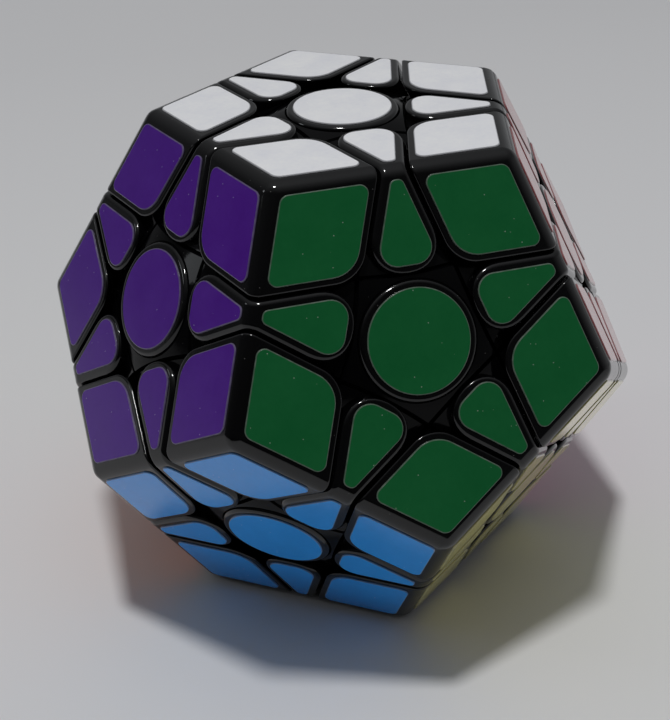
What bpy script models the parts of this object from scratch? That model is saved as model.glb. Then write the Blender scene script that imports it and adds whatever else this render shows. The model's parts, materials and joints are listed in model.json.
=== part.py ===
"""A dodecahedron twisty puzzle: twelve turning faces on one core, cut into centres, edges and corners.

Every face turns about the line from the core through its middle. Outside SHELL_OUT the faces are
parted by flat cuts at CUT_HEIGHT. Between SHELL_IN and SHELL_OUT they are parted by lower cuts at
FOOT_HEIGHT, so each piece has a foot that reaches under its neighbours and holds it in. Both kinds
of cut, and all the shells, stay the same when any face turns, so every face turns freely.
"""

import itertools
import math

import bmesh
import bpy
from mathutils import Matrix, Quaternion, Vector

# Driving dimensions, in metres
EDGE = 0.032  # length of one edge of the dodecahedron, before its edges are rounded
CUT_DEPTH = 0.43 * EDGE  # from an edge of a face to the cut line that runs beside it
FOOT_HEIGHT = 0.0190  # from the core's middle to the lower cuts
SHELL_OUT = 0.0310  # radius where the blocks end and the feet begin
SHELL_IN = 0.0270  # radius where the feet end
LEDGE_RADIUS = 0.0350  # of the round ledge that shows between a button and the pieces round it
GAP = 0.0004  # between any two pieces that pass each other
NECK_BELOW = 0.0012  # how far a neck reaches down into its foot from SHELL_OUT

# Rounding of the blocks
RIM_RADIUS = 0.0024  # along the outer edges of the dodecahedron
CORNER_NOSE_RADIUS = 0.0050  # where a corner piece points at a centre
EDGE_NOSE_RADIUS = 0.0033  # on both sides of an edge piece's inner end

# Centres
BUTTON_RADIUS = 0.0079
BUTTON_BOTTOM = SHELL_OUT + 2 * GAP  # where the button narrows to its stem
BUTTON_CHAMFER = 0.0005
STEM_RADIUS = 0.0053
STEM_BOTTOM = 0.0200
SHELF = 0.0024  # thickness of the stem's floor, which the spring rests on
SHAFT_HOLE_RADIUS = 0.0018
CAVITY_RADIUS = 0.0034
CAP = 0.0026  # thickness over the screw's head

# Core
HUB_HEIGHT = 0.0095  # from the middle to each flat of the hub
ARM_RADIUS = 0.0036
ARM_END = 0.0194
SHAFT_RADIUS = 0.0014
SCREW_HEAD_RADIUS = 0.0027
SCREW_HEAD_BOTTOM = 0.0288
SCREW_HEAD_TOP = 0.0306

# Geometry of a regular dodecahedron
FACE_HEIGHT = EDGE * math.sqrt((25 + 11 * math.sqrt(5)) / 40)
RING_TILT = math.atan(0.5)  # how far the side faces look up or down
FACE_TO_FACE = math.pi / 2 - RING_TILT  # angle between the normals of two faces that share an edge
CUT_HEIGHT = FACE_HEIGHT - CUT_DEPTH * math.sin(FACE_TO_FACE)
NEIGHBOUR_DOT = math.cos(FACE_TO_FACE)  # of the normals of two faces that share an edge

# Faces, named by the colour of their stickers. Each ring goes round from its azimuth in steps of 72 degrees.
UPPER_RING = ("green", "red", "blue", "yellow", "purple")
UPPER_AZIMUTH = math.radians(-90)
LOWER_RING = ("cream", "pink", "lime", "orange", "light_blue")
LOWER_AZIMUTH = math.radians(-54)
FIXED_CENTRES = ("cream", "blue", "orange")  # no two of these share an edge

# How finely round shapes are divided
BALL_SUBDIVISIONS = 3
INNER_BALL_SUBDIVISIONS = 2
BUTTON_STEPS = 24
BORE_STEPS = 16
SCREW_STEPS = 12
RIM_SEGMENTS = 2
NOSE_SEGMENTS = 3

TOP = "white"  # the face that a centre is modelled on
ROOM = 4 * EDGE  # side of the cube that a block is cut from
SNAP = 1e-7  # a cut moves points this close to its plane onto it
NEAR_PLANE = 1e-6  # after the cuts, points this close to a plane lie on it
MERGE = 1e-6  # points of a turned shape this close together are one point
SMOOTH_BELOW = math.radians(25)  # faces that meet at less than this are shaded as one

PLASTIC = {
    "black": ((0.012, 0.012, 0.013, 1.0), 0.22),
    "core": ((0.035, 0.035, 0.038, 1.0), 0.40),
}


def face_normals():
    """The outward normal of each face, by its colour."""
    normals = {"white": Vector((0, 0, 1)), "grey": Vector((0, 0, -1))}
    for names, start, tilt in (
        (UPPER_RING, UPPER_AZIMUTH, RING_TILT),
        (LOWER_RING, LOWER_AZIMUTH, -RING_TILT),
    ):
        for place, name in enumerate(names):
            azimuth = start + place * math.tau / 5
            level = Vector((math.cos(azimuth), math.sin(azimuth), 0))
            normals[name] = level * math.cos(tilt) + Vector((0, 0, math.sin(tilt)))
    return normals


NORMALS = face_normals()


def share_edge(one, other):
    return math.isclose(NORMALS[one].dot(NORMALS[other]), NEIGHBOUR_DOT, abs_tol=NEAR_PLANE)


def neighbours(*faces):
    """The faces that share an edge with every one of these."""
    return [name for name in NORMALS if all(share_edge(name, face) for face in faces)]


def edge_places():
    """The colours of each edge piece."""
    return [pair for pair in itertools.combinations(NORMALS, 2) if share_edge(*pair)]


def corner_places():
    """The colours of each corner piece."""
    return [
        three
        for three in itertools.combinations(NORMALS, 3)
        if all(share_edge(*pair) for pair in itertools.combinations(three, 2))
    ]


def clear_scene():
    for obj in list(bpy.data.objects):
        bpy.data.objects.remove(obj, do_unlink=True)


def new_collection(name):
    collection = bpy.data.collections.new(name)
    bpy.context.scene.collection.children.link(collection)
    return collection


def plastic(name):
    colour, roughness = PLASTIC[name]
    material = bpy.data.materials.new(name + "_plastic")
    material.use_nodes = True
    shader = material.node_tree.nodes["Principled BSDF"]
    shader.inputs["Base Color"].default_value = colour
    shader.inputs["Roughness"].default_value = roughness
    shader.inputs["Metallic"].default_value = 0.0
    return material


def helper(name, mesh):
    """An object that only helps to make a piece, kept out of the model."""
    obj = bpy.data.objects.new(name, mesh)
    obj.hide_render = True
    obj.display_type = "WIRE"
    HELPERS.objects.link(obj)
    return obj


def mesh_from(bm, name):
    bmesh.ops.recalc_face_normals(bm, faces=bm.faces)
    mesh = bpy.data.meshes.new(name)
    bm.to_mesh(mesh)
    bm.free()
    return mesh


def room():
    """A cube that holds the whole puzzle, ready to be cut down to a block."""
    bm = bmesh.new()
    bmesh.ops.create_cube(bm, size=ROOM)
    return bm


def cut_off(bm, normal, height):
    """Takes away what lies beyond the plane at this height along the normal, and closes the cut."""
    cut = bmesh.ops.bisect_plane(
        bm,
        geom=bm.verts[:] + bm.edges[:] + bm.faces[:],
        dist=SNAP,
        plane_co=normal * height,
        plane_no=normal,
        clear_outer=True,
    )
    rim = [part for part in cut["geom_cut"] if isinstance(part, bmesh.types.BMEdge)]
    bmesh.ops.edgeloop_fill(bm, edges=rim)


def layer_block(inside, outside, height):
    """The block that lies in some faces' layers and outside others' layers, half a gap clear of the cuts."""
    bm = room()
    for name in inside:
        cut_off(bm, NORMALS[name], FACE_HEIGHT)
    for name in inside:
        cut_off(bm, -NORMALS[name], -(height + GAP / 2))
    for name in outside:
        cut_off(bm, NORMALS[name], height - GAP / 2)
    return bm


def lies_on(edge, normal, height):
    return all(abs(vert.co.dot(normal) - height) < NEAR_PLANE for vert in edge.verts)


def round_off(bm, edges, radius, segments):
    """Rounds these edges of a block, which all meet their two faces at the same angle."""
    angle = edges[0].calc_face_angle()
    bmesh.ops.bevel(
        bm,
        geom=edges,
        offset=radius * math.tan(angle / 2),
        offset_type="OFFSET",
        segments=segments,
        profile=0.5,
        affect="EDGES",
    )


def where_planes_meet(bm, pairs):
    """The block's edges that lie on both planes of any pair."""
    return [
        edge
        for edge in bm.edges
        if any(lies_on(edge, *one) and lies_on(edge, *two) for one, two in pairs)
    ]


def rounded_block(inside, outside, nose_radius):
    """The part of a piece that shows: its block with its outer edges and its inner ends rounded."""
    bm = layer_block(inside, outside, CUT_HEIGHT)
    faces = [(NORMALS[name], FACE_HEIGHT) for name in inside]
    floors = [(NORMALS[name], CUT_HEIGHT + GAP / 2) for name in inside]
    sides = [(NORMALS[name], CUT_HEIGHT - GAP / 2) for name in outside]
    noses = itertools.product(floors, sides) if sides else itertools.combinations(floors, 2)
    round_off(bm, where_planes_meet(bm, list(noses)), nose_radius, NOSE_SEGMENTS)
    rims = where_planes_meet(bm, list(itertools.combinations(faces, 2)))
    round_off(bm, rims, RIM_RADIUS, RIM_SEGMENTS)
    return bm


def ball(name, radius, subdivisions, outside=False):
    """A faceted ball whose facets all lie within the radius, or all outside it."""
    bm = bmesh.new()
    bmesh.ops.create_icosphere(bm, subdivisions=subdivisions, radius=radius)
    if outside:
        nearest = min(face.verts[0].co.dot(face.normal) for face in bm.faces)
        bmesh.ops.scale(bm, verts=bm.verts, vec=[radius / nearest] * 3)
    return helper(name, mesh_from(bm, name))


def turned(name, profile, steps):
    """A shape turned about Z. The profile lists (radius, height) down its outer side, top to bottom."""
    mesh = bpy.data.meshes.new(name)
    points = [(radius, 0, height) for radius, height in profile]
    mesh.from_pydata(points, [(i, i + 1) for i in range(len(points) - 1)], [])
    obj = helper(name, mesh)
    screw = obj.modifiers.new("Turn", "SCREW")
    screw.axis = "Z"
    screw.steps = steps
    screw.render_steps = steps
    screw.use_merge_vertices = True
    screw.merge_threshold = MERGE
    return obj


def join(obj, operation, *others):
    """Adds, takes away or keeps what the object shares with each of the others, in turn."""
    for other in others:
        step = obj.modifiers.new(other.name, "BOOLEAN")
        step.operation = operation
        step.object = other
        step.solver = "EXACT"


def baked(obj, name):
    """The object's final mesh, with its modifiers worked in."""
    bpy.context.view_layer.update()
    graph = bpy.context.evaluated_depsgraph_get()
    mesh = bpy.data.meshes.new_from_object(obj.evaluated_get(graph))
    mesh.name = name
    mesh.shade_smooth()
    mesh.set_sharp_from_angle(angle=SMOOTH_BELOW)
    return mesh


def neck_block(inside, outside):
    """What a block and a foot have in common, a little narrower than both. Its top is part of the ledge."""
    bm = room()
    for name in inside:
        cut_off(bm, -NORMALS[name], -(CUT_HEIGHT + GAP))
    for name in outside:
        cut_off(bm, NORMALS[name], FOOT_HEIGHT - GAP)
    return bm


def piece_mesh(name, inside, outside, nose_radius):
    """An edge or a corner: a block outside the outer shell, a foot between the shells, and a neck."""
    block = helper(name + "_block", mesh_from(rounded_block(inside, outside, nose_radius), name))
    foot = helper(name + "_foot", mesh_from(layer_block(inside, outside, FOOT_HEIGHT), name))
    neck = helper(name + "_neck", mesh_from(neck_block(inside, outside), name))
    join(block, "DIFFERENCE", BALLS["block_floor"])
    join(foot, "INTERSECT", BALLS["foot_top"])
    join(foot, "DIFFERENCE", BALLS["foot_floor"])
    join(neck, "INTERSECT", BALLS["ledge"])
    join(neck, "DIFFERENCE", BALLS["neck_floor"])
    join(block, "UNION", neck, foot)
    return baked(block, name)


def stem_bore():
    """The hollow in a centre's stem: a hole for the shaft, and over it room for spring and head."""
    return turned(
        "stem_bore",
        [
            (0, FACE_HEIGHT - CAP),
            (CAVITY_RADIUS, FACE_HEIGHT - CAP),
            (CAVITY_RADIUS, STEM_BOTTOM + SHELF),
            (SHAFT_HOLE_RADIUS, STEM_BOTTOM + SHELF),
            (SHAFT_HOLE_RADIUS, STEM_BOTTOM - GAP),
            (0, STEM_BOTTOM - GAP),
        ],
        BORE_STEPS,
    )


def button_on_stem(bottom):
    """The outline of a round button with its stem, which ends at this height."""
    return [
        (0, FACE_HEIGHT),
        (BUTTON_RADIUS - BUTTON_CHAMFER, FACE_HEIGHT),
        (BUTTON_RADIUS, FACE_HEIGHT - BUTTON_CHAMFER),
        (BUTTON_RADIUS, BUTTON_BOTTOM),
        (STEM_RADIUS, BUTTON_BOTTOM),
        (STEM_RADIUS, bottom),
        (0, bottom),
    ]


def centre_mesh():
    """A centre on the top face: a domed flange, a round button, and a stem with its bore."""
    block = layer_block([TOP], neighbours(TOP), CUT_HEIGHT)
    flange = helper("centre_flange", mesh_from(block, "centre_flange"))
    button = turned("centre_button", button_on_stem(STEM_BOTTOM), BUTTON_STEPS)
    join(flange, "INTERSECT", BALLS["ledge"])
    join(flange, "DIFFERENCE", BALLS["block_floor"])
    join(flange, "UNION", button)
    join(flange, "DIFFERENCE", stem_bore())
    return baked(flange, "centre")


def screw_arm():
    """The outline of an arm of the core, with the screw that holds a centre to it."""
    return [
        (0, SCREW_HEAD_TOP),
        (SCREW_HEAD_RADIUS, SCREW_HEAD_TOP),
        (SCREW_HEAD_RADIUS, SCREW_HEAD_BOTTOM),
        (SHAFT_RADIUS, SCREW_HEAD_BOTTOM),
        (SHAFT_RADIUS, ARM_END),
        (ARM_RADIUS, ARM_END),
        (ARM_RADIUS, 0),
        (0, 0),
    ]


def core_mesh():
    """The hub with its arms. Three arms carry their centres as one piece with them."""
    bm = room()
    for normal in NORMALS.values():
        cut_off(bm, normal, HUB_HEIGHT)
    hub = helper("core_hub", mesh_from(bm, "core_hub"))
    for name, normal in NORMALS.items():
        if name in FIXED_CENTRES:
            arm = turned("arm_" + name, button_on_stem(0), BUTTON_STEPS)
        else:
            arm = turned("arm_" + name, screw_arm(), SCREW_STEPS)
        arm.rotation_mode = "QUATERNION"
        arm.rotation_quaternion = Vector((0, 0, 1)).rotation_difference(normal)
        join(hub, "UNION", arm)
    return baked(hub, "core")


def frame_of(one, other):
    """Three directions that turn with a pair of faces."""
    first, second = NORMALS[one], NORMALS[other]
    return Matrix((first, second, first.cross(second))).transposed()


def turn_between(made_on, belongs_on):
    """The turn that takes one pair of neighbouring faces to another pair."""
    return (frame_of(*belongs_on) @ frame_of(*made_on).inverted()).to_quaternion()


def right_handed(three):
    """The same three faces, in the order that goes anticlockwise seen from outside."""
    one, two, last = (NORMALS[name] for name in three)
    if one.cross(two).dot(last) > 0:
        return three
    return (three[1], three[0], three[2])


def add_piece(name, mesh, material, turn=Quaternion()):
    """One piece of the puzzle. Its origin is the core's middle, where all the axes meet."""
    obj = bpy.data.objects.new(name, mesh)
    if not mesh.materials:
        mesh.materials.append(material)
    obj.rotation_mode = "QUATERNION"
    obj.rotation_quaternion = turn
    PUZZLE.objects.link(obj)


def add_centres(material):
    mesh = centre_mesh()
    made_on = (TOP, neighbours(TOP)[0])
    for name in NORMALS:
        if name not in FIXED_CENTRES:
            turn = turn_between(made_on, (name, neighbours(name)[0]))
            add_piece("centre_" + name, mesh, material, turn)


def add_edges(material):
    places = edge_places()
    mesh = piece_mesh("edge", places[0], neighbours(*places[0]), EDGE_NOSE_RADIUS)
    for pair in places:
        add_piece("edge_" + "_".join(pair), mesh, material, turn_between(places[0], pair))


def add_corners(material):
    places = corner_places()
    first = right_handed(places[0])
    mesh = piece_mesh("corner", first, [], CORNER_NOSE_RADIUS)
    for three in places:
        turn = turn_between(first[:2], right_handed(three)[:2])
        add_piece("corner_" + "_".join(three), mesh, material, turn)


def remove_helpers():
    for obj in list(HELPERS.objects):
        bpy.data.objects.remove(obj, do_unlink=True)


clear_scene()
PUZZLE = new_collection("twisty_puzzle")
HELPERS = new_collection("helpers")
HELPERS.hide_render = True
BALLS = {
    "block_floor": ball("block_floor", SHELL_OUT + GAP / 2, BALL_SUBDIVISIONS, outside=True),
    "ledge": ball("ledge", LEDGE_RADIUS, BALL_SUBDIVISIONS),
    "foot_top": ball("foot_top", SHELL_OUT - GAP / 2, BALL_SUBDIVISIONS),
    "neck_floor": ball("neck_floor", SHELL_OUT - NECK_BELOW, INNER_BALL_SUBDIVISIONS),
    "foot_floor": ball("foot_floor", SHELL_IN, INNER_BALL_SUBDIVISIONS),
}
black = plastic("black")
add_piece("core", core_mesh(), plastic("core"))
add_centres(black)
add_edges(black)
add_corners(black)
remove_helpers()
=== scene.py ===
"""Looks of the dodecahedron twisty puzzle: polished black pieces with coloured vinyl stickers.

Each CAD piece is replaced by a finer one with the same outline. A corner, an edge and a centre are
shaped once, and copies of them are turned to where each piece belongs.
"""

import itertools
import json
import math

import bmesh
import bpy
from mathutils import Matrix, Vector

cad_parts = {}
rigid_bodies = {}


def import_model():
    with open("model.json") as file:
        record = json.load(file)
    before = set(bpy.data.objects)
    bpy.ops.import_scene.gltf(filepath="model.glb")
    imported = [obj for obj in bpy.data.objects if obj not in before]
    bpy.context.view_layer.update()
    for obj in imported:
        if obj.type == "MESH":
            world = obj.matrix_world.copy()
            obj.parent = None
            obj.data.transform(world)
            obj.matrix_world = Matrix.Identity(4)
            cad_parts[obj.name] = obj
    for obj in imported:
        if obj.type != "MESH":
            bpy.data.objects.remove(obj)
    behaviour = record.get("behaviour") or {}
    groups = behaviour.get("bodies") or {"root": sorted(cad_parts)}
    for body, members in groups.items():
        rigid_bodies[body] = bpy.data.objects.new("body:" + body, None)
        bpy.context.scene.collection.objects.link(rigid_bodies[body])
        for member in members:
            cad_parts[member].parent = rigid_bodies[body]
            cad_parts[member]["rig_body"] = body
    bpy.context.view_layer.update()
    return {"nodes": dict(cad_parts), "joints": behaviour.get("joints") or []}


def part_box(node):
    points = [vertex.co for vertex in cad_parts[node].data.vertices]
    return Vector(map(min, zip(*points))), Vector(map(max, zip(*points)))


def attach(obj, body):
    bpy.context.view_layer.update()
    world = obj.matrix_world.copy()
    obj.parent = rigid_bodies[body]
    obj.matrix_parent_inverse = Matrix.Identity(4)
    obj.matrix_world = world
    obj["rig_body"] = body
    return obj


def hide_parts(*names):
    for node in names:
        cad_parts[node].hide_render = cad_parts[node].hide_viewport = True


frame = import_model()

# Sizes and directions from the frame
TOP = "white"
FACE_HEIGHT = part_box("centre_" + TOP)[1].z
EDGE = FACE_HEIGHT / math.sqrt((25 + 11 * math.sqrt(5)) / 40)
NORMALS = {
    joint["name"].split("_", 2)[2]: Vector(joint["axis"]).normalized()
    for joint in sorted(frame["joints"], key=lambda joint: joint["name"])
    if joint["name"].startswith("turn_")
}
FIXED_CENTRES = [face for face in NORMALS if "centre_" + face not in frame["nodes"]]
FACE_TO_FACE = math.pi / 2 - math.atan(0.5)  # between the normals of faces that share an edge

# Cuts and shells. All are as in the CAD, but the ledge lies 1 mm higher.
CUT_DEPTH = 0.43 * EDGE
CUT_HEIGHT = FACE_HEIGHT - CUT_DEPTH * math.sin(FACE_TO_FACE)
FOOT_HEIGHT = 0.0190
LEDGE_RADIUS = 0.0360
SHELL_OUT = 0.0310
SHELL_IN = 0.0270
GAP = 0.0004
NECK_BELOW = 0.0012  # how far a neck reaches into the foot under it
LEDGE_CLEAR = 0.00024  # between a cut and the ledge that fills the space before a rounded inner end

# Rounding of the blocks
RIM_RADIUS = 0.0022
CORNER_NOSE_RADIUS = 0.0051
EDGE_NOSE_RADIUS = 0.0033
SHOULDER = 0.00050  # width of the rounding beside each gap
NOSE_SEGMENTS = 9
RIM_SEGMENTS = 6
SHOULDER_SEGMENTS = 5
SOFTENED_FROM = math.radians(45)  # only edges sharper than this get a shoulder
SMOOTH_UP_TO = 32  # degrees between two faces that are still shaded as one

# Centres
BUTTON_RADIUS = 0.0079
BUTTON_ROUNDING = 0.0006
STEM_RADIUS = 0.0053
STEM_BOTTOM = 0.0200
SHELF = 0.0024
SHAFT_HOLE_RADIUS = 0.0018
CAVITY_RADIUS = 0.0034
CAP_SEAT = FACE_HEIGHT - 0.0028  # height of the ring that the cap sits on
CAP_PLAY = 0.0001  # between the cap and the well it clips into
CAP_SKIRT = 0.0012  # how far the cap's skirt reaches into the cavity
CAP_WALL = 0.0008
CAP_STEPS = 96
STEM_STEPS = 64
BORE_STEPS = 40

# Core, screws and springs
HUB_HEIGHT = 0.0095
HUB_ROUNDING = 0.0008
HUB_SEGMENTS = 3
ARM_RADIUS = 0.0036
ARM_END = 0.0194
ARM_ROUNDING = 0.0005
ARM_STEPS = 32
SHAFT_RADIUS = 0.0014
SHAFT_END = 0.0138
SHAFT_TIP_RADIUS = 0.0006
SHAFT_TAPER = 0.0012
SCREW_HEAD_RADIUS = 0.0027
SCREW_HEAD_BOTTOM = 0.0288
SCREW_HEAD_TOP = 0.0306
SCREW_HEAD_ROUNDING = 0.0008
SCREW_STEPS = 40
CROSS_LENGTH = 0.0032
CROSS_WIDTH = 0.0007
CROSS_DEPTH = 0.0009
SPRING_TURNS = 5
SPRING_RADIUS = 0.0023
SPRING_STEPS = 20  # in each turn
SPRING_SMOOTH_UP_TO = 60
WIRE_RADIUS = 0.00032

# Stickers. Margins and radii are shares of the edge length.
STICKER_THICK = 0.00018
STICKER_SUNK = 0.00002
STICKER_CHAMFER = 0.00014
STICKER_SEGMENTS = 2
CORNER_RIM_MARGIN = 0.0480
CORNER_CUT_MARGIN = 0.0390
CORNER_STICKER_RADII = (0.042, 0.035, 0.127, 0.035)
EDGE_RIM_MARGIN = 0.0490
EDGE_CUT_MARGIN = 0.0380
EDGE_NOSE_MARGIN = 0.0410
EDGE_STICKER_RADII = (0.027, 0.027, 0.071, 0.071)
BUTTON_STICKER_RADIUS = 0.2146
BUTTON_STICKER_STEPS = 72

ROOM = 4 * EDGE  # side of the cube that a block is cut from
SNAP = 1e-7  # a cut moves points this close to its plane onto it
NEAR_PLANE = 1e-6  # after the cuts, points this close to a plane lie on it

# Colours, in linear light
BLACK_COLOUR = (0.0015, 0.0015, 0.0018)
BLACK_DUST = (0.30, 0.29, 0.28)
VINYL_DUST = (0.8, 0.8, 0.8)
CORE_DARK = (0.026, 0.026, 0.029)
CORE_PALE = (0.045, 0.045, 0.049)
SCREW_COLOUR = (0.55, 0.55, 0.56)
SPRING_COLOUR = (0.62, 0.60, 0.57)
# Floor colours for painted light fall-off: lit in front, shaded behind
FLOOR_SHADED_BACK = (0.68, 0.68, 0.69)
FLOOR_LIT_FRONT = (0.76, 0.76, 0.77)
SKY = (0.95, 0.97, 1.0)
DAYLIGHT = (0.92, 0.96, 1.0)
VINYL = {
    "white": (0.93, 0.94, 1.00),
    "green": (0.007, 0.118, 0.033),
    "purple": (0.068, 0.007, 0.245),
    "light_blue": (0.008, 0.335, 0.960),
    "red": (0.450, 0.012, 0.020),
    "cream": (0.880, 0.800, 0.240),
    "grey": (0.200, 0.205, 0.215),
    "yellow": (0.830, 0.560, 0.010),
    "blue": (0.006, 0.040, 0.300),
    "pink": (0.760, 0.140, 0.330),
    "lime": (0.200, 0.560, 0.030),
    "orange": (0.830, 0.170, 0.010),
}

# How glossy things are
BLACK_IOR = 1.5
RECESS_SHADE_IOR = 1.2  # of the ledges and of all that lies under them; their weaker reflection is painted shade that keeps the recesses dark
VINYL_IOR = 1.37
COAT = 0.80  # weight of the glare on vinyl that is seen at a grazing angle
COAT_ROUGHNESS = 0.10
COAT_FROM, COAT_FULL = 0.42, 0.74  # values of Layer Weight's Facing
RIPPLE = 0.000008  # depth of the unevenness that breaks up reflections
CORE_GRAIN = 0.000012

# Stage
FLOOR_SIZE = 6.0
FLOOR_SHADE_FADE = 0.25  # painted light fall-off: the floor's colour darkens a little from under the puzzle to this far behind it
LAMP_DISTANCE, LAMP_SIZE, LAMP_WATTS = 1.50, 0.17, 10.0
WINDOW_DISTANCE, WINDOW_SIZE, WINDOW_WATTS = 1.10, 0.24, 0.45
CAMERA_PLACE = Vector((-1.5073, -5.0331, 3.0981)) * EDGE
CAMERA_RIGHT = Vector((0.95703, -0.28913, -0.02216))
CAMERA_DOWN = Vector((-0.17100, -0.50100, -0.84839))
CAMERA_AHEAD = Vector((0.23419, 0.81572, -0.52891))
CAMERA_LENS = 63.7  # millimetres, on a sensor of 36


# ---------------------------------------------------------------- places


def share_edge(one, other):
    return math.isclose(NORMALS[one].dot(NORMALS[other]), math.cos(FACE_TO_FACE), abs_tol=0.01)


def neighbours(*faces):
    """The faces that share an edge with every one of these."""
    return [name for name in NORMALS if all(share_edge(name, face) for face in faces)]


def faces_of(node):
    """The faces that a CAD node's name lists, in its order."""
    rest = node.split("_", 1)[1]
    found = []
    while rest:
        face = max((name for name in NORMALS if rest.startswith(name)), key=len)
        found.append(face)
        rest = rest[len(face):].lstrip("_")
    return found


def nodes_named(start):
    return [node for node in frame["nodes"] if node.startswith(start)]


def right_handed(three):
    """The same three faces, in the order that goes anticlockwise seen from outside."""
    one, two, last = (NORMALS[name] for name in three)
    return three if one.cross(two).dot(last) > 0 else [three[1], three[0], three[2]]


def frame_of(one, other):
    """Three directions that turn with a pair of faces."""
    first, second = NORMALS[one], NORMALS[other]
    return Matrix((first, second, first.cross(second))).transposed()


def turn_between(made_on, belongs_on):
    """The turn that takes one pair of neighbouring faces to another pair."""
    turn = frame_of(*belongs_on) @ frame_of(*made_on).inverted()
    return turn.to_quaternion().to_matrix().to_4x4()


def turn_from_top(face):
    return turn_between((TOP, neighbours(TOP)[0]), (face, neighbours(face)[0]))


# ---------------------------------------------------------------- shapes


def mesh_from(bm, name):
    bmesh.ops.recalc_face_normals(bm, faces=bm.faces)
    mesh = bpy.data.meshes.new(name)
    bm.to_mesh(mesh)
    bm.free()
    return mesh


def new_object(name, data):
    obj = bpy.data.objects.new(name, data)
    bpy.context.scene.collection.objects.link(obj)
    return obj


def room():
    """A cube that holds the whole puzzle, ready to be cut down to a block."""
    bm = bmesh.new()
    bmesh.ops.create_cube(bm, size=ROOM)
    return bm


def cut_off(bm, normal, height):
    """Takes away what lies beyond the plane at this height along the normal, and closes the cut."""
    cut = bmesh.ops.bisect_plane(
        bm,
        geom=bm.verts[:] + bm.edges[:] + bm.faces[:],
        dist=SNAP,
        plane_co=normal * height,
        plane_no=normal,
        clear_outer=True,
    )
    rim = [part for part in cut["geom_cut"] if isinstance(part, bmesh.types.BMEdge)]
    bmesh.ops.edgeloop_fill(bm, edges=rim)


def layer_block(inside, outside, height, clear=GAP / 2):
    """The block that lies in some faces' layers and outside others' layers, this far clear of the cuts."""
    bm = room()
    for name in inside:
        cut_off(bm, NORMALS[name], FACE_HEIGHT)
    for name in inside:
        cut_off(bm, -NORMALS[name], -(height + clear))
    for name in outside:
        cut_off(bm, NORMALS[name], height - clear)
    return bm


def neck_block(inside, outside):
    """What a block and a foot have in common, a little narrower than both. Its top is part of the ledge."""
    bm = room()
    for name in inside:
        cut_off(bm, -NORMALS[name], -(CUT_HEIGHT + GAP))
    for name in outside:
        cut_off(bm, NORMALS[name], FOOT_HEIGHT - GAP)
    return bm


def lies_on(edge, normal, height):
    return all(abs(vert.co.dot(normal) - height) < NEAR_PLANE for vert in edge.verts)


def where_planes_meet(bm, pairs):
    """The block's edges that lie on both planes of any pair."""
    return [
        edge
        for edge in bm.edges
        if any(lies_on(edge, *one) and lies_on(edge, *two) for one, two in pairs)
    ]


def bevel(bm, edges, offset, segments):
    bmesh.ops.bevel(
        bm,
        geom=edges,
        offset=offset,
        offset_type="OFFSET",
        segments=segments,
        profile=0.5,
        affect="EDGES",
    )


def round_off(bm, edges, radius, segments):
    """Rounds these edges of a block, which all meet their two faces at the same angle."""
    bevel(bm, edges, radius * math.tan(edges[0].calc_face_angle() / 2), segments)


def soften_shoulders(bm):
    """Rounds every sharp edge that is left on the outside of a block."""
    sharp = [
        edge
        for edge in bm.edges
        if edge.calc_face_angle() > SOFTENED_FROM
        and min(vert.co.length for vert in edge.verts) > SHELL_OUT + GAP
    ]
    bevel(bm, sharp, SHOULDER, SHOULDER_SEGMENTS)


def rounded_block(inside, outside, nose_radius):
    """The part of a piece that shows: its block with its outer edges, inner ends and shoulders rounded."""
    bm = layer_block(inside, outside, CUT_HEIGHT)
    faces = [(NORMALS[name], FACE_HEIGHT) for name in inside]
    floors = [(NORMALS[name], CUT_HEIGHT + GAP / 2) for name in inside]
    sides = [(NORMALS[name], CUT_HEIGHT - GAP / 2) for name in outside]
    noses = itertools.product(floors, sides) if sides else itertools.combinations(floors, 2)
    rims = itertools.combinations(faces, 2)
    round_off(bm, where_planes_meet(bm, list(noses)), nose_radius, NOSE_SEGMENTS)
    round_off(bm, where_planes_meet(bm, list(rims)), RIM_RADIUS, RIM_SEGMENTS)
    soften_shoulders(bm)
    return bm


def ball(name, radius, subdivisions):
    bm = bmesh.new()
    bmesh.ops.create_icosphere(bm, subdivisions=subdivisions, radius=radius)
    return new_object(name, mesh_from(bm, name))


def turned(name, profile, steps):
    """A shape turned about Z. The profile lists (radius, height) down its outer side, top to bottom."""
    mesh = bpy.data.meshes.new(name)
    points = [(radius, 0, height) for radius, height in profile]
    mesh.from_pydata(points, [(i, i + 1) for i in range(len(points) - 1)], [])
    obj = new_object(name, mesh)
    screw = obj.modifiers.new("Turn", "SCREW")
    screw.axis = "Z"
    screw.steps = steps
    screw.render_steps = steps
    screw.use_merge_vertices = True
    screw.merge_threshold = NEAR_PLANE
    return obj


def arc(centre, start, end, steps):
    """Points on a quarter round or less, from one (radius, height) to another, about a centre."""
    size = math.dist(start, centre)
    first = math.atan2(start[1] - centre[1], start[0] - centre[0])
    sweep = math.atan2(end[1] - centre[1], end[0] - centre[0]) - first
    angles = [first + sweep * k / steps for k in range(steps + 1)]
    return [(centre[0] + size * math.cos(a), centre[1] + size * math.sin(a)) for a in angles]


def rounded_rim(radius, top, rounding, steps=5):
    """The outer rim of a turned shape's top."""
    centre = (radius - rounding, top - rounding)
    return arc(centre, (radius - rounding, top), (radius, top - rounding), steps)


def join(obj, operation, *others):
    """Adds, takes away or keeps what the object shares with each of the others, in turn."""
    for other in others:
        step = obj.modifiers.new(other.name, "BOOLEAN")
        step.operation = operation
        step.object = other
        step.solver = "MANIFOLD"


def evaluated_mesh(obj):
    graph = bpy.context.evaluated_depsgraph_get()
    return bpy.data.meshes.new_from_object(obj.evaluated_get(graph))


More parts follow.
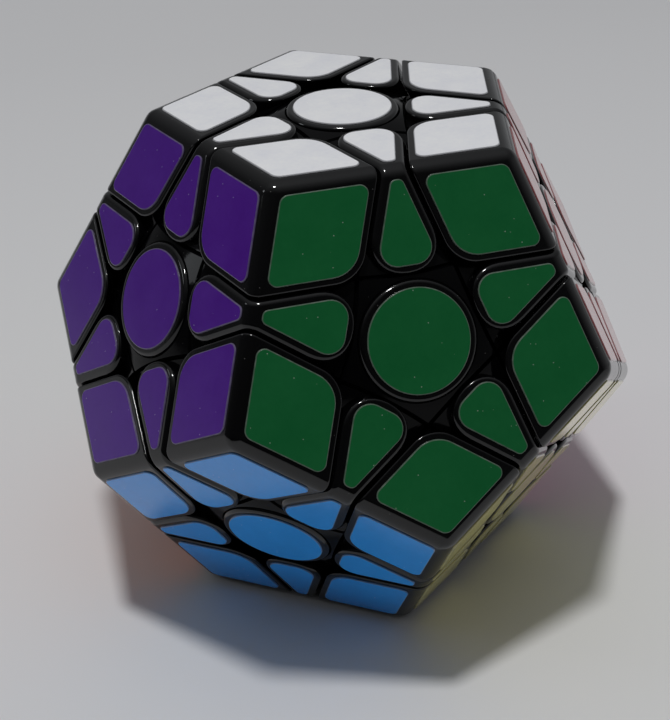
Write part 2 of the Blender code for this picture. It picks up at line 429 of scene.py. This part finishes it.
def baked(obj, name, smooth_up_to=SMOOTH_UP_TO):
    """The object's final mesh, smoothly shaded, with flats kept flat beside their rounded edges."""
    mesh = evaluated_mesh(obj)
    mesh.shade_smooth()
    mesh.set_sharp_from_angle(angle=math.radians(smooth_up_to))
    shaded = new_object(name, mesh)
    flats = shaded.modifiers.new("Flats", "WEIGHTED_NORMAL")
    flats.keep_sharp = True
    flats.weight = 100
    final = evaluated_mesh(shaded)
    final.materials.clear()
    final.name = name
    bpy.data.objects.remove(shaded)
    return final


# ---------------------------------------------------------------- pieces


def piece_mesh(name, inside, outside, nose_radius):
    """An edge or a corner: a block outside the outer shell, a foot between the shells, and a neck."""
    block = new_object(name + "_block", mesh_from(rounded_block(inside, outside, nose_radius), name))
    foot = new_object(name + "_foot", mesh_from(layer_block(inside, outside, FOOT_HEIGHT), name))
    neck = new_object(name + "_neck", mesh_from(neck_block(inside, outside), name))
    ledge_block = layer_block(inside, outside, CUT_HEIGHT, LEDGE_CLEAR)
    ledge = new_object(name + "_ledge", mesh_from(ledge_block, name))
    join(block, "DIFFERENCE", BALLS["block_floor"])
    join(ledge, "INTERSECT", BALLS["ledge"])
    join(ledge, "DIFFERENCE", BALLS["block_floor"])
    join(foot, "INTERSECT", BALLS["foot_top"])
    join(foot, "DIFFERENCE", BALLS["foot_floor"])
    join(neck, "INTERSECT", BALLS["ledge"])
    join(neck, "DIFFERENCE", BALLS["neck_floor"])
    join(block, "UNION", ledge, neck, foot)
    return baked(block, name)


def stem():
    """A centre's stem, up to the ring that the cap sits on."""
    radius = BUTTON_RADIUS - 2 * CAP_PLAY
    profile = [
        (0, CAP_SEAT),
        (radius, CAP_SEAT),
        (radius, SHELL_OUT + 2 * GAP),
        (STEM_RADIUS, SHELL_OUT + 2 * GAP),
        (STEM_RADIUS, STEM_BOTTOM),
        (0, STEM_BOTTOM),
    ]
    return turned("stem", profile, STEM_STEPS)


def bore():
    """The hollow in a stem: a hole for the screw's shaft, and over it room for spring and head."""
    profile = [
        (0, FACE_HEIGHT),
        (CAVITY_RADIUS, FACE_HEIGHT),
        (CAVITY_RADIUS, STEM_BOTTOM + SHELF),
        (SHAFT_HOLE_RADIUS, STEM_BOTTOM + SHELF),
        (SHAFT_HOLE_RADIUS, STEM_BOTTOM - GAP),
        (0, STEM_BOTTOM - GAP),
    ]
    return turned("bore", profile, BORE_STEPS)


def cap_well():
    """The room that a cap takes out of a flange."""
    radius = BUTTON_RADIUS + CAP_PLAY
    profile = [(0, FACE_HEIGHT), (radius, FACE_HEIGHT), (radius, CAP_SEAT), (0, CAP_SEAT)]
    return turned("cap_well", profile, CAP_STEPS)


def centre_mesh():
    """A centre's body on the top face: a domed flange and a stem."""
    flange = new_object("flange", mesh_from(layer_block([TOP], neighbours(TOP), CUT_HEIGHT), "flange"))
    join(flange, "INTERSECT", BALLS["ledge"])
    join(flange, "DIFFERENCE", BALLS["block_floor"], cap_well())
    join(flange, "UNION", stem())
    join(flange, "DIFFERENCE", bore())
    return baked(flange, "centre")


def fixed_centre_mesh():
    """A centre that is one with the core: a round stem without a flange."""
    body = stem()
    join(body, "DIFFERENCE", bore())
    return baked(body, "fixed_centre")


def cap_mesh():
    """The round cap that clips over a centre's screw: a button with a rounded rim and a short skirt."""
    bottom = CAP_SEAT + CAP_PLAY
    skirt = CAVITY_RADIUS - 2 * CAP_PLAY
    profile = [
        (0, FACE_HEIGHT),
        *rounded_rim(BUTTON_RADIUS, FACE_HEIGHT, BUTTON_ROUNDING),
        (BUTTON_RADIUS, bottom),
        (skirt, bottom),
        (skirt, bottom - CAP_SKIRT),
        (skirt - CAP_WALL, bottom - CAP_SKIRT),
        (skirt - CAP_WALL, bottom + CAP_WALL / 2),
        (0, bottom + CAP_WALL / 2),
    ]
    return baked(turned("cap", profile, CAP_STEPS), "cap")


def hub_mesh():
    """The core: a dodecahedron with an arm towards each face."""
    bm = room()
    for normal in NORMALS.values():
        cut_off(bm, normal, HUB_HEIGHT)
    bevel(bm, bm.edges[:], HUB_ROUNDING, HUB_SEGMENTS)
    hub = new_object("hub", mesh_from(bm, "hub"))
    profile = [(0, ARM_END), *rounded_rim(ARM_RADIUS, ARM_END, ARM_ROUNDING), (ARM_RADIUS, 0), (0, 0)]
    for face, normal in NORMALS.items():
        arm = turned("arm_" + face, profile, ARM_STEPS)
        arm.rotation_mode = "QUATERNION"
        arm.rotation_quaternion = Vector((0, 0, 1)).rotation_difference(normal)
        join(hub, "UNION", arm)
    return baked(hub, "core_hub")


def cross_slot(turn):
    """One of the two slots of a screw's cross."""
    bm = bmesh.new()
    bmesh.ops.create_cube(bm, size=1)
    bmesh.ops.scale(bm, verts=bm.verts, vec=(CROSS_LENGTH, CROSS_WIDTH, 2 * CROSS_DEPTH))
    bmesh.ops.rotate(bm, verts=bm.verts, matrix=Matrix.Rotation(turn, 3, "Z"))
    bmesh.ops.translate(bm, verts=bm.verts, vec=(0, 0, SCREW_HEAD_TOP))
    return new_object("cross_slot", mesh_from(bm, "cross_slot"))


def screw_mesh():
    """A pan-head screw with a cross slot, standing in its arm."""
    profile = [
        (0, SCREW_HEAD_TOP),
        *rounded_rim(SCREW_HEAD_RADIUS, SCREW_HEAD_TOP, SCREW_HEAD_ROUNDING),
        (SCREW_HEAD_RADIUS, SCREW_HEAD_BOTTOM),
        (SHAFT_RADIUS, SCREW_HEAD_BOTTOM),
        (SHAFT_RADIUS, SHAFT_END + SHAFT_TAPER),
        (SHAFT_TIP_RADIUS, SHAFT_END),
        (0, SHAFT_END),
    ]
    screw = turned("screw", profile, SCREW_STEPS)
    join(screw, "DIFFERENCE", cross_slot(0), cross_slot(math.pi / 2))
    return baked(screw, "screw")


def spring_mesh():
    """A compression spring round the screw, from the stem's floor to the head."""
    low, high = STEM_BOTTOM + SHELF + WIRE_RADIUS, SCREW_HEAD_BOTTOM - WIRE_RADIUS
    curve = bpy.data.curves.new("spring", "CURVE")
    curve.dimensions = "3D"
    curve.bevel_depth = WIRE_RADIUS
    curve.bevel_resolution = 2
    curve.use_fill_caps = True
    path = curve.splines.new("POLY")
    steps = SPRING_TURNS * SPRING_STEPS
    path.points.add(steps)
    for k, point in enumerate(path.points):
        share = k / steps
        angle = math.tau * SPRING_TURNS * share
        height = low + (high - low) * share
        point.co = (SPRING_RADIUS * math.cos(angle), SPRING_RADIUS * math.sin(angle), height, 1)
    bm = bmesh.new()
    bm.from_mesh(evaluated_mesh(new_object("spring", curve)))
    bmesh.ops.remove_doubles(bm, verts=bm.verts, dist=NEAR_PLANE)
    return baked(new_object("spring", mesh_from(bm, "spring")), "spring", SPRING_SMOOTH_UP_TO)


# ---------------------------------------------------------------- stickers


def meet(face, one, depth_one, other, depth_other):
    """The point on a face at these depths, in edge lengths, from its edges with two other faces."""
    normals = Matrix((NORMALS[face], NORMALS[one], NORMALS[other]))
    slope = math.sin(FACE_TO_FACE) * EDGE
    heights = (FACE_HEIGHT, FACE_HEIGHT - depth_one * slope, FACE_HEIGHT - depth_other * slope)
    return normals.inverted() @ Vector(heights)


def rounded_outline(points, radii, normal, steps=8):
    """A closed outline on a plane, with each of its corners rounded to its own radius."""
    outline = []
    for i, (point, radius) in enumerate(zip(points, radii)):
        back = (points[i - 1] - point).normalized()
        ahead = (points[(i + 1) % len(points)] - point).normalized()
        half = back.angle(ahead) / 2
        centre = point + (back + ahead).normalized() * (radius * EDGE / math.sin(half))
        start = point + back * (radius * EDGE / math.tan(half)) - centre
        sweep = math.pi - 2 * half
        if back.cross(ahead).dot(normal) > 0:
            sweep = -sweep
        turns = [Matrix.Rotation(sweep * k / steps, 3, normal) for k in range(steps + 1)]
        outline += [centre + turn @ start for turn in turns]
    return outline


def sticker_mesh(name, outline, normal):
    """A thin sheet with this outline. Its sides and its broken top edge have the second material."""
    bm = bmesh.new()
    base = bm.faces.new([bm.verts.new(point - normal * STICKER_SUNK) for point in outline])
    raised = bmesh.ops.extrude_face_region(bm, geom=[base])["geom"]
    top = next(part for part in raised if isinstance(part, bmesh.types.BMFace))
    bmesh.ops.translate(bm, verts=top.verts, vec=normal * (STICKER_SUNK + STICKER_THICK))
    bevel(bm, top.edges[:], STICKER_CHAMFER, STICKER_SEGMENTS)
    bmesh.ops.recalc_face_normals(bm, faces=bm.faces)
    for side in bm.faces:
        side.material_index = 0 if side.normal.dot(normal) > 0.99 else 1
    return mesh_from(bm, name)


def corner_sticker(face, others):
    one, other = others
    near, far = CORNER_RIM_MARGIN, CUT_DEPTH / EDGE - CORNER_CUT_MARGIN
    depths = ((near, near), (near, far), (far, far), (far, near))
    points = [meet(face, one, depth, other, depth_other) for depth, depth_other in depths]
    return rounded_outline(points, CORNER_STICKER_RADII, NORMALS[face])


def edge_sticker(face, other):
    left, right = neighbours(face, other)
    side = CUT_DEPTH / EDGE + EDGE_CUT_MARGIN
    near, far = EDGE_RIM_MARGIN, CUT_DEPTH / EDGE - EDGE_NOSE_MARGIN
    places = ((near, left), (near, right), (far, right), (far, left))
    points = [meet(face, other, depth, beside, side) for depth, beside in places]
    return rounded_outline(points, EDGE_STICKER_RADII, NORMALS[face])


def button_sticker(face):
    normal = NORMALS[face]
    level = normal.orthogonal().normalized() * BUTTON_STICKER_RADIUS * EDGE
    angles = [math.tau * k / BUTTON_STICKER_STEPS for k in range(BUTTON_STICKER_STEPS)]
    return [normal * FACE_HEIGHT + Matrix.Rotation(angle, 3, normal) @ level for angle in angles]


# ---------------------------------------------------------------- materials


class Nodes:
    """A short way to write the nodes of a material or of the world."""

    def __init__(self, owner, shader):
        owner.use_nodes = True
        self.tree = owner.node_tree
        self.shader = self.tree.nodes[shader]

    def add(self, kind, inputs=(), **settings):
        node = self.tree.nodes.new("ShaderNode" + kind)
        for key, value in settings.items():
            setattr(node, key, value)
        for key, value in dict(inputs).items():
            self.feed(node.inputs[key], value)
        return node

    def feed(self, socket, value):
        if isinstance(value, bpy.types.NodeSocket):
            self.tree.links.new(value, socket)
        else:
            socket.default_value = value

    def set(self, **inputs):
        for key, value in inputs.items():
            self.feed(self.shader.inputs[key.replace("_", " ")], value)

    def place(self):
        """Where a point lies in its object, in metres."""
        return self.add("TexCoord").outputs["Object"]

    def noise(self, size, detail=3.0, roughness=0.5):
        """Noise with features about this many metres across, from 0 to 1."""
        inputs = {"Scale": 1 / size, "Detail": detail, "Roughness": roughness, "Vector": self.place()}
        return self.add("TexNoise", inputs).outputs["Fac"]

    def between(self, value, low, high, to_low=0.0, to_high=1.0):
        ends = {"From Min": low, "From Max": high, "To Min": to_low, "To Max": to_high}
        node = self.add("MapRange", ends)
        self.feed(node.inputs["Value"], value)
        return node.outputs["Result"]

    def maths(self, operation, one, other=0.0):
        node = self.add("Math", operation=operation)
        self.feed(node.inputs[0], one)
        self.feed(node.inputs[1], other)
        return node.outputs[0]

    def length(self, vector):
        return self.add("VectorMath", {0: vector}, operation="LENGTH").outputs["Value"]

    def along(self, vector, direction):
        node = self.add("VectorMath", {0: vector, 1: direction}, operation="DOT_PRODUCT")
        return node.outputs["Value"]

    def glare(self):
        """The coat's weight: none where a surface faces the viewer, and most at a grazing angle."""
        facing = self.add("LayerWeight", {"Blend": 0.5}).outputs["Facing"]
        return self.between(facing, COAT_FROM, COAT_FULL, 0.0, COAT)

    def mix(self, share, one, other):
        node = self.add("Mix", data_type="RGBA")
        self.feed(node.inputs["Factor"], share)
        self.feed(node.inputs[6], one)
        self.feed(node.inputs[7], other)
        return node.outputs[2]

    def specks(self, spacing, radius, share):
        """1 on small round specks of this radius, in this share of cells this many metres apart."""
        cells = self.add("TexVoronoi", {"Scale": 1 / spacing, "Vector": self.place()})
        size = radius / spacing
        near = self.between(cells.outputs["Distance"], size * 0.6, size, 1.0, 0.0)
        chance = self.add("SeparateColor", {"Color": cells.outputs["Color"]}).outputs[0]
        return self.maths("MULTIPLY", near, self.maths("LESS_THAN", chance, share))

    def bump(self, height, distance, strength=1.0):
        node = self.add("Bump", {"Distance": distance, "Strength": strength})
        self.feed(node.inputs["Height"], height)
        return node.outputs["Normal"]


def new_material(name):
    material = bpy.data.materials.new(name)
    return material, Nodes(material, "Principled BSDF")


def rgba(colour):
    return (*colour, 1.0)


def black_plastic():
    """Polished black ABS with faint ripples, smudges and a little dust. From the ledges down it reflects
    less: painted shade that keeps the recesses dark.
    """
    material, n = new_material("black_plastic")
    smudge = n.between(n.noise(0.009, 4, 0.6), 0.38, 0.66)
    dust = n.specks(0.0008, 0.00007, 0.10)
    shine = n.between(smudge, 0, 1, 0.07, 0.13)
    # painted shade: below these radii the plastic reflects less, so the recesses stay dark
    inside, outside = LEDGE_RADIUS + 0.00005, LEDGE_RADIUS + 0.00020
    n.set(
        Base_Color=n.mix(n.maths("MULTIPLY", dust, 0.35), rgba(BLACK_COLOUR), rgba(BLACK_DUST)),
        Roughness=n.maths("ADD", shine, n.maths("MULTIPLY", dust, 0.4)),
        Normal=n.bump(n.noise(0.0016, 2, 0.5), RIPPLE),
        IOR=n.between(n.length(n.place()), inside, outside, RECESS_SHADE_IOR, BLACK_IOR),
    )
    return material


def vinyl(name, colour):
    """Printed vinyl: slightly uneven colour, a soft sheen and specks of dust."""
    material, n = new_material("vinyl_" + name)
    pale = [min(1.0, part * 1.07 + 0.002) for part in colour]
    deep = [part * 0.94 for part in colour]
    cloud = n.between(n.noise(0.0060, 5, 0.62), 0.32, 0.68)
    grain = n.between(n.noise(0.0007, 3, 0.6), 0.30, 0.70)
    tone = n.maths("ADD", n.maths("MULTIPLY", cloud, 0.65), n.maths("MULTIPLY", grain, 0.35))
    dust = n.specks(0.0007, 0.00008, 0.12)
    shade = n.mix(tone, rgba(deep), rgba(pale))
    shine = n.between(cloud, 0, 1, 0.17, 0.26)
    n.set(
        Base_Color=n.mix(n.maths("MULTIPLY", dust, 0.45), shade, rgba(VINYL_DUST)),
        Roughness=n.maths("ADD", shine, n.maths("MULTIPLY", dust, 0.3)),
        Normal=n.bump(n.noise(0.0011, 3, 0.55), RIPPLE),
        IOR=VINYL_IOR,
        Coat_Weight=n.glare(),
        Coat_Roughness=COAT_ROUGHNESS,
    )
    return material


def vinyl_edge(name, colour):
    """The cut edge of a sticker, where the paler film shows."""
    material, n = new_material("vinyl_edge_" + name)
    pale = [part * 0.35 + 0.12 for part in colour]
    worn = [part * 0.45 + 0.06 for part in colour]
    n.set(
        Base_Color=n.mix(n.between(n.noise(0.0009), 0.35, 0.65), rgba(pale), rgba(worn)),
        Roughness=0.30,
        Coat_Weight=n.glare(),
        Coat_Roughness=COAT_ROUGHNESS,
    )
    return material


def core_plastic():
    """Dark nylon with a fine grain."""
    material, n = new_material("core_plastic")
    n.set(
        Base_Color=n.mix(n.noise(0.0030, 4), rgba(CORE_DARK), rgba(CORE_PALE)),
        Roughness=n.between(n.noise(0.0015, 3), 0.3, 0.7, 0.36, 0.50),
        Normal=n.bump(n.noise(0.0006, 2), CORE_GRAIN),
    )
    return material


def steel(name, colour, roughness):
    """Bare steel, streaked a little."""
    material, n = new_material(name)
    streak = n.noise(0.0012, 4)
    n.set(
        Base_Color=n.mix(streak, rgba([part * 0.82 for part in colour]), rgba(colour)),
        Roughness=n.between(streak, 0.3, 0.7, roughness * 0.8, roughness * 1.3),
        Metallic=1.0,
    )
    return material


# ---------------------------------------------------------------- building


def place(name, mesh, body, materials, turn=None, stands_for=None):
    """Puts a copy of a mesh where it belongs and lets it ride its body."""
    mesh = mesh.copy()
    mesh.name = name
    if turn:
        mesh.transform(turn)
    for material in materials:
        mesh.materials.append(material)
    obj = new_object(name, mesh)
    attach(obj, body)
    if stands_for:
        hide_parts(stands_for)


def place_sticker(name, outline, face, body):
    mesh = sticker_mesh(name, outline, NORMALS[face])
    place(name, mesh, body, VINYLS[face])


def build_corners():
    nodes = nodes_named("corner_")
    first = right_handed(faces_of(nodes[0]))
    mesh = piece_mesh("corner", first, [], CORNER_NOSE_RADIUS)
    for node in nodes:
        faces = right_handed(faces_of(node))
        turn = turn_between(first[:2], faces[:2])
        place(node + "_block", mesh, node, [BLACK], turn, node)
        for face in faces:
            others = [other for other in faces if other != face]
            place_sticker(node + "_sticker_" + face, corner_sticker(face, others), face, node)


def build_edges():
    nodes = nodes_named("edge_")
    first = faces_of(nodes[0])
    mesh = piece_mesh("edge", first, neighbours(*first), EDGE_NOSE_RADIUS)
    for node in nodes:
        faces = faces_of(node)
        turn = turn_between(first, faces)
        place(node + "_block", mesh, node, [BLACK], turn, node)
        for face, other in (faces, faces[::-1]):
            place_sticker(node + "_sticker_" + face, edge_sticker(face, other), face, node)


def build_centres():
    free, fixed, cap = centre_mesh(), fixed_centre_mesh(), cap_mesh()
    for face in NORMALS:
        name = "centre_" + face
        turn = turn_from_top(face)
        if face in FIXED_CENTRES:
            body = "core"
            place(name + "_body", fixed, body, [BLACK], turn)
        else:
            body = name
            place(name + "_body", free, body, [BLACK], turn, name)
        place(name + "_cap", cap, body, [BLACK], turn)
        place_sticker(name + "_sticker", button_sticker(face), face, body)


def build_core():
    place("core_hub", hub_mesh(), "core", [core_plastic()], None, "core")
    screw, spring = screw_mesh(), spring_mesh()
    screw_steel = steel("screw_steel", SCREW_COLOUR, 0.28)
    spring_steel = steel("spring_steel", SPRING_COLOUR, 0.24)
    for face in NORMALS:
        turn = turn_from_top(face)
        place("screw_" + face, screw, "core", [screw_steel], turn)
        place("spring_" + face, spring, "core", [spring_steel], turn)


def remove_helpers(kept):
    """Removes the cutters and other shapes that only helped to make the pieces."""
    for obj in set(bpy.data.objects) - kept:
        if "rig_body" not in obj:
            bpy.data.objects.remove(obj)


BLACK = black_plastic()
VINYLS = {face: [vinyl(face, colour), vinyl_edge(face, colour)] for face, colour in VINYL.items()}

cad_objects = set(bpy.data.objects)
BALLS = {
    "ledge": ball("ledge", LEDGE_RADIUS, 6),
    "block_floor": ball("block_floor", SHELL_OUT + GAP, 5),
    "foot_top": ball("foot_top", SHELL_OUT - GAP / 2, 5),
    "neck_floor": ball("neck_floor", SHELL_OUT - NECK_BELOW, 3),
    "foot_floor": ball("foot_floor", SHELL_IN, 4),
}
build_corners()
build_edges()
build_centres()
build_core()
remove_helpers(cad_objects)


# ---------------------------------------------------------------- stage


def add_floor():
    """A pale floor under the puzzle's lowest stickers. Its colour darkens a little towards the back:
    painted light fall-off.
    """
    bpy.ops.mesh.primitive_plane_add(size=FLOOR_SIZE, location=(0, 0, -FACE_HEIGHT - STICKER_THICK))
    floor = bpy.context.object
    floor.name = "floor"
    material, n = new_material("floor")
    back = n.add("SeparateXYZ", {"Vector": n.place()}).outputs["Y"]
    n.set(
        # painted shade: the colour goes from the lit front to the darker back, as light falling off would
        Base_Color=n.mix(n.between(back, FLOOR_SHADE_FADE, 0.0), rgba(FLOOR_SHADED_BACK), rgba(FLOOR_LIT_FRONT)),
        Roughness=0.95,
        Specular_IOR_Level=0.1,
    )
    floor.data.materials.append(material)


def towards(azimuth, elevation):
    """The direction with this azimuth, from +X towards +Y, and this height over the floor, in degrees."""
    azimuth, elevation = math.radians(azimuth), math.radians(elevation)
    level = Vector((math.cos(azimuth), math.sin(azimuth), 0))
    return level * math.cos(elevation) + Vector((0, 0, math.sin(elevation)))


def add_light(name, direction, distance, size, power, colour=(1, 1, 1)):
    """A round lamp that shines at the puzzle from this direction."""
    data = bpy.data.lights.new(name, "AREA")
    data.shape = "DISK"
    data.size = size
    data.energy = power
    data.color = colour
    light = new_object(name, data)
    light.location = direction * distance
    light.rotation_euler = (-direction).to_track_quat("-Z", "Y").to_euler()


def add_world():
    """A soft sky: bright overhead, pale along the horizon on the right, and dark behind the camera."""
    world = bpy.data.worlds.new("studio")
    n = Nodes(world, "Background")
    direction = n.add("TexCoord").outputs["Generated"]
    height = n.maths("MAXIMUM", n.add("SeparateXYZ", {"Vector": direction}).outputs["Z"], 0.0)
    front = n.along(direction, towards(-106, 0))
    right = n.along(direction, towards(30, 0))
    overhead = n.maths("MULTIPLY", n.maths("POWER", height, 2.2), 0.46)
    low = n.maths("POWER", n.maths("SUBTRACT", 1.0, height), 2.0)
    horizon = n.maths("MULTIPLY", low, n.between(right, -0.5, 0.5, 0.06, 0.45))
    shade = n.between(front, 0.0, 0.7, 1.0, 0.30)
    n.set(Color=rgba(SKY), Strength=n.maths("MULTIPLY", n.maths("ADD", overhead, horizon), shade))
    bpy.context.scene.world = world


def add_camera():
    """The camera stands a little to the left of the green face and looks down on it."""
    data = bpy.data.cameras.new("camera")
    data.sensor_width = 36
    data.lens = CAMERA_LENS
    data.clip_start = 0.01
    camera = new_object("camera", data)
    turn = Matrix((CAMERA_RIGHT, -CAMERA_DOWN, -CAMERA_AHEAD)).transposed().to_4x4()
    camera.matrix_world = Matrix.Translation(CAMERA_PLACE) @ turn
    bpy.context.scene.camera = camera


add_floor()
add_light("lamp", towards(230, 82), LAMP_DISTANCE, LAMP_SIZE, LAMP_WATTS)
add_light("window", towards(160, 25), WINDOW_DISTANCE, WINDOW_SIZE, WINDOW_WATTS, DAYLIGHT)
add_world()
add_camera()
bpy.context.scene.view_settings.view_transform = "Standard"
